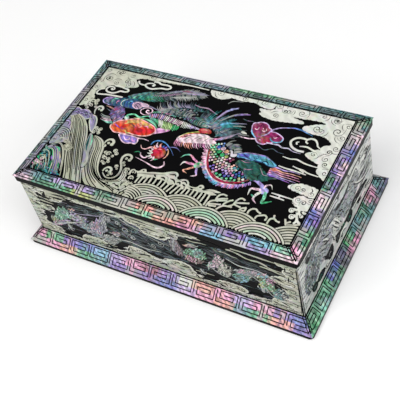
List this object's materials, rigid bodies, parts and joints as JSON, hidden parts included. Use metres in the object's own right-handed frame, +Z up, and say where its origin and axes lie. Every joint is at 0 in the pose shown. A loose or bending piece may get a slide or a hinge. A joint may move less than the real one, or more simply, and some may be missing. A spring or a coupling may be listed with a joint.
{
  "type": "business card box",
  "caption": "Low rectangular lacquered box with a lift-off lid, sloped inlaid borders and a sloped plinth, hollow inside for cards.",
  "frame": {"origin": "middle of the plinth's underside", "axes": "+X along the long side, +Z up, the front faces -Y"},
  "size_m": [0.256, 0.158, 0.0803],
  "materials": {
    "lid_lacquer": "black gloss lacquer with mother of pearl inlay",
    "body_lacquer": "black gloss lacquer with mother of pearl inlay",
    "plinth_lacquer": "black gloss lacquer with mother of pearl inlay"
  },
  "bodies": {
    "root": {"plinth": "plinth_lacquer", "box_body": "body_lacquer", "lid": "lid_lacquer"}
  },
  "joints": []
}
